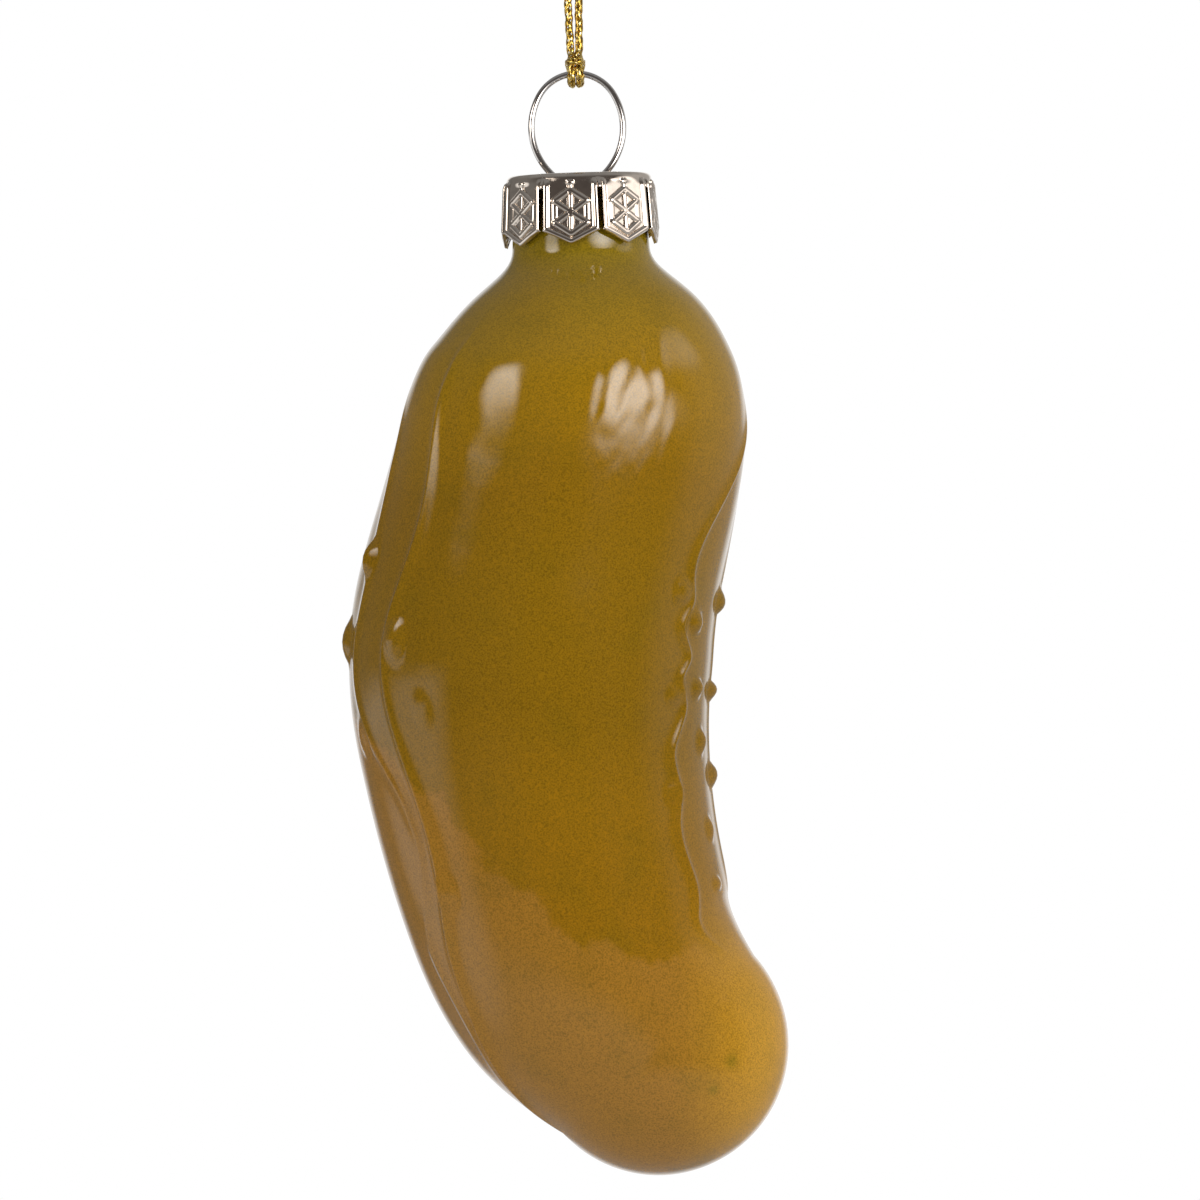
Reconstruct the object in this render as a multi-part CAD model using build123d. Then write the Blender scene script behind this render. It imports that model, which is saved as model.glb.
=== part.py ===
from build123d import *
import os
from bisect import bisect_left
from math import cos, pi, radians, sin, tan

# Blown-glass pickle ornament: glass body, crown cap, spring-wire hanger and hanging cord.
# Millimetres and degrees. +Z is up, the front faces -Y, and the origin is the hang point at the
# top inside of the cord loop. The neck's axis is the line x = 0, y = 0.

# Cord
HANG_DROP = 28.0            # hang point down to the wire's centre at the top of the ring
CORD_DIAMETER = 1.0
CORD_SIDES = 12             # flats round a strand's section
STRAND_CLEARANCE = 0.1      # between the two strands at the hitch and at the knot
LOOP_SPREAD = 3.6           # between the two strands' centre lines at the widest point of the loop
LOOP_WIDEST_Z = -6.0        # height of that point
LOOP_CLOSED_LENGTH = 9.0    # height over the hitch where the strands start to part
LOOP_CLOSED_LEAN = 0.08     # sideways move of each strand over that height
KNOT_DIAMETER = 3.2
KNOT_HEIGHT = 2.8
KNOT_BEVEL = 0.8
TAIL_LENGTH = 5.0
TAIL_SPREAD = 18.0          # angle of each cut end from upright
HITCH_WRAP = 0.75           # thickness of the cord where it is pulled flat round the wire
HITCH_CLEARANCE = 0.22      # room between the wire and the turns
HITCH_EDGE = 0.25           # bevel along the edges of the turns
HITCH_SEAT = 0.1            # depth of the flat where the strands leave the turns

# Wire hanger
WIRE_DIAMETER = 0.75
WIRE_SIDES = 12             # flats round the wire's section
RING_TOP_RADIUS = 4.95      # bend of the wire's centre line over the top of the ring
RING_TOP_TURN = 60.0        # each side
RING_SIDE_RADIUS = 7.5
RING_SIDE_TURN = 80.0
RING_FOOT_RADIUS = 1.1      # the reverse bend in the cap's holes
LEG_SPLAY = 12.5            # angle of each leg from upright
LEG_LENGTH = 14.5

# Crown cap
CAP_HEIGHT = 7.5
CAP_SHEET = 0.3
CAP_CORNER_RADIUS = 0.6
PETAL_COUNT = 8
PETAL_TURN = 7.0            # front petal's middle, turned to the left of the front
PETAL_POINT = 1.15          # length of a petal's point below its side corners
PETAL_SLIT_WIDTH = 0.35
PETAL_SLIT_TOP = 1.5        # top of each slit below the cap's top
WIRE_HOLE_PLAY = 0.2        # room on each side of the wire across its hole
WIRE_HOLE_SLACK = 1.25      # room along the hole, where the wire crosses it at a slant
WIRE_HOLE_INWARD = 0.05     # the hole's middle, inwards of the wire at the top of the cap

# Glass body
NECK_RIM_RADIUS = 7.45
NECK_FLARE = 0.5            # growth in radius from the rim to the neck's foot, and of the cap's skirt
NECK_BELOW_CAP = 0.5        # length of the neck that shows below the petals' points
NECK_TO_CAP = 0.35          # radial room between the neck's rim and the cap's skirt
SEAT_GAP = 0.15             # room between the neck's rim and the underside of the cap
GLASS_WALL = 0.9
TIP_RADIUS = 15.1
BODY_DEPTH = 39.3           # front to back, where the body is widest
OVAL_RANGE = (30.0, 80.0)   # distances along the centre line between which the body is fully oval

# Centre line of the body: (to the right of the neck's axis, down from the rim).
SPINE = [
    (0.0, 0.0), (0.0, 9.6), (0.1, 19.6), (-2.0, 31.6), (-5.3, 43.6),
    (-7.4, 54.6), (-7.1, 66.6), (-4.7, 80.6), (-0.6, 91.6), (6.0, 99.9),
]
TIP_LEAN = 41.0             # angle of the centre line from upright where the round tip begins

# Half width of the body: (distance along the centre line from the neck's foot, half width).
GIRTH = [
    (1.7, 8.7), (3.4, 10.5), (5.2, 12.6), (6.9, 14.2), (8.6, 15.5), (10.3, 16.6), (12.0, 17.5),
    (15.5, 18.7), (19.0, 19.3), (26.0, 19.8), (36.0, 20.3), (47.0, 20.9), (60.0, 19.8),
    (74.0, 18.7), (86.0, 17.4),
]
SHOULDER_LENGTH = 19.0      # from the neck's foot to where the body is nearly at its full width

# Ridges run along the body at these angles from the front, positive to the right.
RIDGE_ANGLES = [-152.0, -112.0, -76.0, -49.0, 54.0, 90.0, 130.0, 168.0]
RIDGE_HEIGHT = 0.7
RIDGE_START = (18.0, 36.0)  # distance along the centre line where the ridges rise out of the shoulder
RIDGE_END = (86.0, 104.0)   # and where they sink into the round tip

# Warts on the ridges: (distance along the centre line, angle from the front).
WARTS = [
    (47.3, -74.0), (54.6, -90.0), (53.7, -49.0), (62.8, -77.0), (79.1, -47.0),
    (44.6, 53.0), (49.1, 60.0), (61.0, 64.0), (68.2, 66.0), (71.5, 53.0),
    (45.5, 90.0), (60.0, 91.0), (72.8, 90.0),
    (52.0, 130.0), (66.0, 168.0), (58.0, -150.0),
]
WART_BALL_RADIUS = 2.4
WART_HEIGHT = 0.75          # above the skin
WART_ON_CREST = 6.0         # a wart within this angle of a crest rides on it
WART_CREST_SINK = 0.3       # and stands this much lower than the crest would lift it

# Spacing of the sections that the body is drawn through.
SHOULDER_STEP = 2.1
BODY_STEP = 6.5
TIP_STEP = 11.0             # degrees of the round tip
TIP_FLAT = 87.0             # the last section lies below this latitude
WALL_STEPS = 2              # the inner wall's sections are this many times as far apart
SECTION_STEP = 11.0         # degrees between the corners of a section, about
WALL_SECTION_STEP = 15      # and between those of the inner wall

CUT_MARGIN = 1.0            # how far a cutting tool reaches past what it cuts

# Sizes and levels that follow from those above.
WIRE_TOP_Z = -HANG_DROP
RING_TURN = RING_TOP_TURN + RING_SIDE_TURN
RING_DROP = (RING_TOP_RADIUS * (1 - cos(radians(RING_TOP_TURN)))
             + RING_SIDE_RADIUS * (cos(radians(RING_TOP_TURN)) - cos(radians(RING_TURN))))
RING_FOOT_X = (RING_TOP_RADIUS * sin(radians(RING_TOP_TURN))
               + RING_SIDE_RADIUS * (sin(radians(RING_TURN)) - sin(radians(RING_TOP_TURN))))
CAP_TOP_Z = WIRE_TOP_Z - RING_DROP
CAP_TOP_RADIUS = NECK_RIM_RADIUS + NECK_TO_CAP + CAP_SHEET
RIM_Z = CAP_TOP_Z - CAP_SHEET - SEAT_GAP
NECK_LENGTH = CAP_HEIGHT + NECK_BELOW_CAP
NECK_BASE_RADIUS = NECK_RIM_RADIUS + NECK_FLARE
OVAL_SHARE = BODY_DEPTH / (2 * max(half_width for _, half_width in GIRTH))
HITCH_INNER = WIRE_DIAMETER / 2 + HITCH_CLEARANCE
HITCH_OUTER = HITCH_INNER + HITCH_WRAP
HITCH_TOP_Z = WIRE_TOP_Z + HITCH_OUTER - HITCH_SEAT
KNOT_BOTTOM_Z = CORD_DIAMETER
STRAND_X = (CORD_DIAMETER + STRAND_CLEARANCE) / 2


def smooth(value, start, end):
    """Rise from 0 to 1 between two values, level at both ends."""
    share = min(max((value - start) / (end - start), 0.0), 1.0)
    return share * share * (3 - 2 * share)


# Glass body: sections along a bent centre line.
spine = Spline(
    [(x, 0, RIM_Z - down) for x, down in SPINE],
    tangents=[(0, 0, -1), (sin(radians(TIP_LEAN)), 0, -cos(radians(TIP_LEAN)))],
)
SPINE_LENGTH = spine.length
girth = Spline(
    [(NECK_LENGTH, NECK_BASE_RADIUS)]
    + [(NECK_LENGTH + below, width) for below, width in GIRTH if width > NECK_BASE_RADIUS]
    + [(SPINE_LENGTH, TIP_RADIUS)],
    tangents=[(1, 0.1), (1, -0.2)],
)
GIRTH_TRACE = [girth @ (step / 400) for step in range(401)]


def half_width_at(along):
    """Half width of the body at a distance along the centre line below the neck."""
    index = bisect_left([place.X for place in GIRTH_TRACE], along)
    return GIRTH_TRACE[min(index, len(GIRTH_TRACE) - 1)].Y


def ridge_share(along):
    """How far the ridges have risen at a distance along the centre line, from 0 to 1."""
    return smooth(along, *RIDGE_START) * (1 - smooth(along, *RIDGE_END))


def half_sizes(along, half_width, inset):
    """Half width and half depth of a section."""
    full_from, full_to = OVAL_RANGE
    oval = smooth(along, NECK_LENGTH, full_from) * (1 - smooth(along, full_to, SPINE_LENGTH))
    half_depth = half_width * (1 - (1 - OVAL_SHARE) * oval)
    return half_width - inset, half_depth - inset


def section_marks():
    """Angles of a section's corners, each with 1 on a ridge's crest and 0 in a hollow."""
    crests = RIDGE_ANGLES + [RIDGE_ANGLES[0] + 360]
    marks = []
    for first, last in zip(crests, crests[1:]):
        spans = round((last - first) / SECTION_STEP)
        marks.append((first, 1))
        marks += [(first + (last - first) * step / spans, 0) for step in range(1, spans)]
    return marks


def section(along, half_width, centre, direction, inset):
    """A closed section of narrow flats, which on the outer skin is peaked at the ridges' crests."""
    width, depth = half_sizes(along, half_width, inset)
    right = Vector(-direction.Z, 0, direction.X)
    marks = [(angle, 0) for angle in range(-180, 180, WALL_SECTION_STEP)] if inset else section_marks()
    corners = []
    for angle, crest in marks:
        lift = RIDGE_HEIGHT * ridge_share(along) * crest
        corners.append(centre + right * ((width + lift) * sin(radians(angle)))
                       + Vector(0, -(depth + lift) * cos(radians(angle)), 0))
    return Wire.make_polygon(corners)


def stations(inset):
    """Distance, half width, centre and direction of each section, from the rim to near the tip."""
    coarse = WALL_STEPS if inset else 1
    rows = [(0.0, NECK_RIM_RADIUS), (NECK_LENGTH, NECK_BASE_RADIUS)]
    along = NECK_LENGTH
    while along < SPINE_LENGTH - 1.5 * coarse * BODY_STEP:
        on_shoulder = along < NECK_LENGTH + SHOULDER_LENGTH
        along += coarse * (SHOULDER_STEP if on_shoulder else BODY_STEP)
        rows.append((along, half_width_at(along)))
    rows.append((SPINE_LENGTH, TIP_RADIUS))
    rows = [(a, w, spine @ (a / SPINE_LENGTH), spine % (a / SPINE_LENGTH)) for a, w in rows]
    end, direction = spine @ 1, spine % 1
    latitude = coarse * TIP_STEP
    while latitude < TIP_FLAT:
        half_width = (TIP_RADIUS - inset) * cos(radians(latitude)) + inset
        reach = (TIP_RADIUS - inset) * sin(radians(latitude))
        rows.append((SPINE_LENGTH + reach, half_width, end + direction * reach, direction))
        latitude += coarse * TIP_STEP
    return rows


def skin(inset):
    """Solid inside the body's skin, or inside its inner wall when inset is the wall."""
    return Solid.make_loft([section(*row, inset) for row in stations(inset)], ruled=True)


def skin_place(along, angle):
    """A point of the skin between the ridges' crests, and the outward direction there."""
    share = along / SPINE_LENGTH
    width, depth = half_sizes(along, half_width_at(along), 0.0)
    direction = spine % share
    right = Vector(-direction.Z, 0, direction.X)
    outward = (right * (sin(radians(angle)) / width)
               + Vector(0, -cos(radians(angle)) / depth, 0)).normalized()
    foot = (spine @ share + right * (width * sin(radians(angle)))
            + Vector(0, -depth * cos(radians(angle)), 0))
    return foot, outward


def wart(along, angle):
    """A ball sunk into the skin, so that a low round wart stands out."""
    foot, outward = skin_place(along, angle)
    if min(abs(angle - crest) for crest in RIDGE_ANGLES) < WART_ON_CREST:
        foot += outward * (RIDGE_HEIGHT * ridge_share(along) - WART_CREST_SINK)
    return Pos(foot - outward * (WART_BALL_RADIUS - WART_HEIGHT)) * Sphere(WART_BALL_RADIUS)


def make_glass_body():
    """A hollow blown body, open at the neck."""
    body = skin(0.0)
    body = body.fuse(*[wart(along, angle).solid() for along, angle in WARTS])
    return body - skin(GLASS_WALL)


def make_crown_cap():
    """A drawn cup whose skirt is cut into pointed petals, with two holes for the wire."""
    top, bottom = CAP_TOP_RADIUS, CAP_TOP_RADIUS + NECK_FLARE
    corner = [
        (top - CAP_CORNER_RADIUS * (1 - sin(turn)), -CAP_CORNER_RADIUS * (1 - cos(turn)))
        for turn in (0, pi / 6, pi / 3, pi / 2)
    ]
    outer = Polyline((0, 0), *corner, (bottom, -CAP_HEIGHT))
    inner = Polyline(
        (0, -CAP_SHEET), (top - CAP_SHEET, -CAP_SHEET), (bottom - CAP_SHEET, -CAP_HEIGHT),
    )
    ends = [Line((0, 0), (0, -CAP_SHEET)), Line((bottom, -CAP_HEIGHT), (bottom - CAP_SHEET, -CAP_HEIGHT))]
    cup = revolve(Plane.XZ * make_face([*outer.edges(), *inner.edges(), *ends]), Axis.Z)

    half_pitch = bottom * sin(pi / PETAL_COUNT)
    reach = half_pitch + CUT_MARGIN
    notch_z = -CAP_HEIGHT + PETAL_POINT
    low_z = notch_z - PETAL_POINT * reach / half_pitch
    half_slit = PETAL_SLIT_WIDTH / 2
    notch = Polyline(
        (-reach, low_z), (-half_slit, notch_z), (-half_slit, -PETAL_SLIT_TOP),
        (half_slit, -PETAL_SLIT_TOP), (half_slit, notch_z), (reach, low_z),
        (reach, low_z - CUT_MARGIN), (-reach, low_z - CUT_MARGIN), close=True,
    )
    cutter = extrude(Plane.XZ * make_face(notch), amount=bottom + CUT_MARGIN)
    for petal in range(PETAL_COUNT):
        turn = -PETAL_TURN + (petal + 0.5) * 360 / PETAL_COUNT
        cup -= Rot(0, 0, turn) * cutter

    hole = SlotOverall(WIRE_DIAMETER + WIRE_HOLE_SLACK, WIRE_DIAMETER + 2 * WIRE_HOLE_PLAY)
    punch = extrude(hole, amount=CAP_SHEET + CUT_MARGIN, both=True)
    for side in (-1, 1):
        cup -= Pos(side * (RING_FOOT_X - WIRE_HOLE_INWARD), 0, 0) * punch
    return Pos(0, 0, CAP_TOP_Z) * cup


def make_wire_hanger():
    """One wire: leg, ring, leg. The right half is drawn from the ring's top and mirrored."""
    top = JernArc((0, 0), (1, 0), RING_TOP_RADIUS, -RING_TOP_TURN)
    side = JernArc(top @ 1, top % 1, RING_SIDE_RADIUS, -RING_SIDE_TURN)
    foot = JernArc(side @ 1, side % 1, RING_FOOT_RADIUS, RING_TURN - 90 + LEG_SPLAY)
    leg = Line(foot @ 1, foot @ 1 + (foot % 1) * LEG_LENGTH)
    half = Plane.XZ * Curve([top, side, foot, leg])
    path = Wire([*half.edges(), *mirror(half, about=Plane.YZ).edges()])
    wire_end = Plane(origin=path @ 0, z_dir=path % 0) * RegularPolygon(WIRE_DIAMETER / 2, WIRE_SIDES)
    return Pos(0, 0, WIRE_TOP_Z) * sweep(wire_end, path=path)


def make_cord_hitch():
    """The cord's two turns round the wire, with a flat seat on top for the strands."""
    half, edge = STRAND_X + CORD_DIAMETER / 2, HITCH_EDGE
    turn = make_face(Polyline(
        (0, HITCH_INNER), (half, HITCH_INNER), (half, HITCH_OUTER - edge), (half - edge, HITCH_OUTER),
        (edge, HITCH_OUTER), (0, HITCH_OUTER - edge), close=True,
    ))
    turns = revolve(turn + mirror(turn, about=Plane.YZ), Axis.X)
    return split(Pos(0, 0, WIRE_TOP_Z) * turns, bisect_by=Plane.XY.offset(HITCH_TOP_Z), keep=Keep.BOTTOM)


def bend_radius(before, corner, after):
    """Nearly the widest arc that fits a corner between two straight runs."""
    first, second = Vector(*corner) - Vector(*before), Vector(*after) - Vector(*corner)
    turn = radians(first.get_angle(second))
    return 0.45 * min(first.length, second.length) / tan(turn / 2)


def make_cord_strand(side):
    """One strand of the loop, from the hitch up to the knot."""
    low, parting = side * STRAND_X, side * (STRAND_X + LOOP_CLOSED_LEAN)
    points = [
        (low, 0, HITCH_TOP_Z), (parting, 0, HITCH_TOP_Z + LOOP_CLOSED_LENGTH),
        (side * LOOP_SPREAD / 2, 0, LOOP_WIDEST_Z), (low, 0, KNOT_BOTTOM_Z + CORD_DIAMETER / 2),
    ]
    radii = [bend_radius(*points[k - 1:k + 2]) for k in range(1, len(points) - 1)]
    route = FilletPolyline(*points, radius=radii)
    print("strand", side, "bends", [round(radius, 1) for radius in radii])
    strand_end = Plane(origin=route @ 0, z_dir=route % 0) * RegularPolygon(CORD_DIAMETER / 2, CORD_SIDES)
    strand = sweep(strand_end, path=route)
    print("strand volume over section times length", strand.volume / (strand_end.area * route.length))
    return split(strand, bisect_by=Plane.XY.offset(KNOT_BOTTOM_Z), keep=Keep.BOTTOM)


def make_cord_knot():
    """The overhand knot's outer shape, flat where the strands enter, with the two cut ends."""
    half = KNOT_HEIGHT / 2
    knot = Cylinder(KNOT_DIAMETER / 2, KNOT_HEIGHT)
    knot = chamfer(knot.edges().filter_by(GeomType.CIRCLE), KNOT_BEVEL)
    for side in (-1, 1):
        tail = Cylinder(CORD_DIAMETER / 2, TAIL_LENGTH + half, align=(Align.CENTER, Align.CENTER, Align.MIN))
        knot += Rot(0, side * TAIL_SPREAD, 0) * tail
    return Pos(0, 0, KNOT_BOTTOM_Z + half) * knot


os.makedirs("parts", exist_ok=True)
NODES = {
    "glass_body": make_glass_body(),
    "crown_cap": make_crown_cap(),
    "wire_hanger": make_wire_hanger(),
    "cord_hitch": make_cord_hitch(),
    "cord_strand_left": make_cord_strand(-1),
    "cord_strand_right": make_cord_strand(1),
    "cord_knot": make_cord_knot(),
}
for name, shape in NODES.items():
    solids = shape.solids()
    print(name, "solids", len(solids), "volume", round(shape.volume, 2), "valid", shape.is_valid)
    export_step(shape, f"parts/{name}.step")
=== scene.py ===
# %% [markdown]
# # A blown-glass gherkin for the tree
# The ornament is four things: a hollow glass gherkin, a stamped metal crown cap, a sprung wire ring and a
# gold cord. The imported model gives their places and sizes. This lesson gives each one its real surface:
# ridges and warts on the glass, embossed petals on the cap, round wire and a braided cord.

# %% Load the frame
from math import cos, pi, radians, sin, sqrt, tan

import bmesh
import bpy
import numpy as np
from mathutils import Matrix, Vector, noise


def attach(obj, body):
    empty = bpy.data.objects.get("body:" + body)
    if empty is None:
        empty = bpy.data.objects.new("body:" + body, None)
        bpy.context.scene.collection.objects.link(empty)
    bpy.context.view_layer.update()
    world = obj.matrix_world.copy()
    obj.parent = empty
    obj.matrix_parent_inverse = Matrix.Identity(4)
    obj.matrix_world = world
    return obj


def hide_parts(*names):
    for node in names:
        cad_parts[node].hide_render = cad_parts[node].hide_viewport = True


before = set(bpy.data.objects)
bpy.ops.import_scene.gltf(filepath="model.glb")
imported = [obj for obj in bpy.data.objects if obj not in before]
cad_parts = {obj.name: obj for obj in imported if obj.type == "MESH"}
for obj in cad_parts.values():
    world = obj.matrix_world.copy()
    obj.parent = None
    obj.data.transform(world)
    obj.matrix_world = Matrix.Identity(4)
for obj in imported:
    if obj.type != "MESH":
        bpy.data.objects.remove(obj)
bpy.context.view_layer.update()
MM = 0.001

# %% [markdown]
# ## Camera
# The ornament hangs level with the lens, and it leans a little because its weight lies to one side of the
# ring. The camera is rolled by that lean, so that the model itself can stay upright. A long lens far away
# keeps the sides of the cap nearly parallel, as they are in the photograph.

# %% Camera
PHOTO_SIDE = 1200
PIXELS_PER_MM = 8.66
RING_TOP_PIXEL = (575.5, 73.7)
RING_TOP_Z = -28.0
PHOTO_ROLL = radians(1.8)
CAMERA_DISTANCE = 1.2

across = (PHOTO_SIDE / 2 - RING_TOP_PIXEL[0]) / PIXELS_PER_MM
down = (PHOTO_SIDE / 2 - RING_TOP_PIXEL[1]) / PIXELS_PER_MM
aim_x = across * cos(PHOTO_ROLL) - down * sin(PHOTO_ROLL)
aim_z = RING_TOP_Z - across * sin(PHOTO_ROLL) - down * cos(PHOTO_ROLL)

lens = bpy.data.cameras.new("camera")
lens.sensor_width = 36
lens.lens = lens.sensor_width * CAMERA_DISTANCE / (PHOTO_SIDE / PIXELS_PER_MM * MM)
lens.clip_start = 0.01
camera = bpy.data.objects.new("camera", lens)
bpy.context.collection.objects.link(camera)
camera.matrix_world = Matrix((
    (cos(PHOTO_ROLL), sin(PHOTO_ROLL), 0, aim_x * MM),
    (0, 0, -1, -CAMERA_DISTANCE),
    (-sin(PHOTO_ROLL), cos(PHOTO_ROLL), 0, aim_z * MM),
    (0, 0, 0, 1),
))
bpy.context.scene.camera = camera
print("camera aims at", round(aim_x, 2), round(aim_z, 2), "mm, lens", round(lens.lens), "mm")

# %% [markdown]
# ## Helpers
# A few small helpers are used all through the lesson. Two draw smooth curves and steps. One turns a finished
# bmesh into a piece that rides on a body. The last adds shader nodes and links them.

# %% Smooth curves
def smooth_curve(knots, values, first_slope, last_slope):
    """The smooth function through the values at the knots, with the given slopes at its ends."""
    knots, values = np.array(knots, float), np.array(values, float)
    steps, last = np.diff(knots), len(knots) - 1
    system, right = np.zeros((last + 1, last + 1)), np.zeros(values.shape)
    system[0, 0] = system[last, last] = 1
    right[0], right[last] = first_slope, last_slope
    for k in range(1, last):
        before, after = steps[k - 1], steps[k]
        system[k, k - 1:k + 2] = 1 / before, 2 / before + 2 / after, 1 / after
        right[k] = 3 * ((values[k] - values[k - 1]) / before ** 2 + (values[k + 1] - values[k]) / after ** 2)
    slopes = np.linalg.solve(system, right)

    def at(place):
        place = np.clip(np.asarray(place, float), knots[0], knots[-1])
        k = np.clip(np.searchsorted(knots, place) - 1, 0, last - 1)
        step, t = steps[k], (place - knots[k]) / steps[k]
        return (values[k] * (1 + 2 * t) * (1 - t) ** 2 + values[k + 1] * t * t * (3 - 2 * t)
                + slopes[k] * step * t * (1 - t) ** 2 + slopes[k + 1] * step * t * t * (t - 1))
    return at


def smooth_step(value, start, end):
    """Rise from 0 to 1 between two values, level at both ends."""
    share = np.clip((np.asarray(value, float) - start) / (end - start), 0, 1)
    return share * share * (3 - 2 * share)


print("smooth step half way", float(smooth_step(0.5, 0, 1)))


# %% Pieces and nodes
def make_piece(bm, name, body, material, replaces):
    """Turn a finished bmesh, in millimetres, into a smooth-shaded piece that rides on a body."""
    bmesh.ops.scale(bm, verts=bm.verts, vec=(MM, MM, MM))
    for face in bm.faces:
        face.smooth = True
    mesh = bpy.data.meshes.new(name)
    bm.to_mesh(mesh)
    bm.free()
    mesh.materials.append(material)
    piece = bpy.data.objects.new(name, mesh)
    bpy.context.collection.objects.link(piece)
    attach(piece, body)
    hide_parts(*replaces)
    print(name, "faces", len(mesh.polygons))
    return piece


class Nodes:
    """Short words for building a node tree."""

    def __init__(self, owner):
        owner.use_nodes = True
        self.tree = owner.node_tree
        self.tree.nodes.clear()

    def add(self, kind, inputs=None, **settings):
        node = self.tree.nodes.new(kind)
        for name, value in settings.items():
            setattr(node, name, value)
        for socket, value in (inputs or {}).items():
            if isinstance(value, bpy.types.NodeSocket):
                self.tree.links.new(value, node.inputs[socket])
            else:
                node.inputs[socket].default_value = value
        return node

    def ramp(self, value, stops):
        node = self.add("ShaderNodeValToRGB", {"Fac": value})
        while len(node.color_ramp.elements) < len(stops):
            node.color_ramp.elements.new(0.5)
        for element, (place, colour) in zip(node.color_ramp.elements, stops):
            element.position = place
            element.color = (*colour, 1) if len(colour) == 3 else colour
        return node.outputs["Color"]

    def mix(self, share, first, second, blend="MIX"):
        node = self.add("ShaderNodeMix", data_type="RGBA", blend_type=blend)
        for socket, value in ((0, share), (6, first), (7, second)):
            if isinstance(value, bpy.types.NodeSocket):
                self.tree.links.new(value, node.inputs[socket])
            elif socket == 0:
                node.inputs[socket].default_value = value
            else:
                node.inputs[socket].default_value = (*value, 1)
        return node.outputs[2]

    def span(self, value, low, high, to_low=0.0, to_high=1.0):
        node = self.add("ShaderNodeMapRange", {"Value": value, "From Min": low, "From Max": high,
                                               "To Min": to_low, "To Max": to_high},
                        interpolation_type="SMOOTHSTEP")
        return node.outputs["Result"]

    def math(self, operation, *values):
        return self.add("ShaderNodeMath", dict(enumerate(values)), operation=operation).outputs["Value"]


# %% [markdown]
# ## Lacquered glass
# The colour lies under clear glass: olive by the neck, golden brown in the middle and ochre at the tip, with a
# fine sprayed grain. A brighter yellow patch on the right of the lower end is painted light, glowing in the lacquer.
# A sharp clear coat over a soft base gives the two-layer gloss. The grain is noise in three dimensions, so it has
# no seam.

# %% Lacquer
def srgb(red, green, blue):
    """A colour given as it looks on a screen, from 0 to 255, as shader values."""
    shares = [channel / 255 for channel in (red, green, blue)]
    return tuple(s / 12.92 if s <= 0.04045 else ((s + 0.055) / 1.055) ** 2.4 for s in shares)


LACQUER_STOPS = [
    (-0.152, srgb(139, 101, 15)), (-0.126, srgb(135, 97, 11)), (-0.114, srgb(134, 98, 11)),
    (-0.102, srgb(125, 93, 10)), (-0.088, srgb(128, 96, 10)), (-0.076, srgb(131, 97, 11)),
    (-0.066, srgb(144, 109, 13)), (-0.057, srgb(141, 111, 14)), (-0.049, srgb(128, 107, 18)),
]
COLOUR_DRIFT = 0.016
TIP_BORDER, TIP_SLOPE, TIP_RAGGED, TIP_LEFT_X = -0.129, 1.1, 0.006, -0.002
# The second, brighter yellow on the next line is painted light: a patch glowing in the lacquer on the right of the
# lower end.
PALE_END_COLOUR, PAINTED_GLOW = srgb(146, 105, 34), srgb(182, 136, 30)
GREEN_PAINT, CLOUD_PAINT = srgb(104, 96, 18), srgb(96, 82, 10)
GREEN_SPOTS = [((0.0143, -0.0125, -0.142), 0.0011), ((0.0121, -0.0129, -0.1452), 0.001)]


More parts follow.
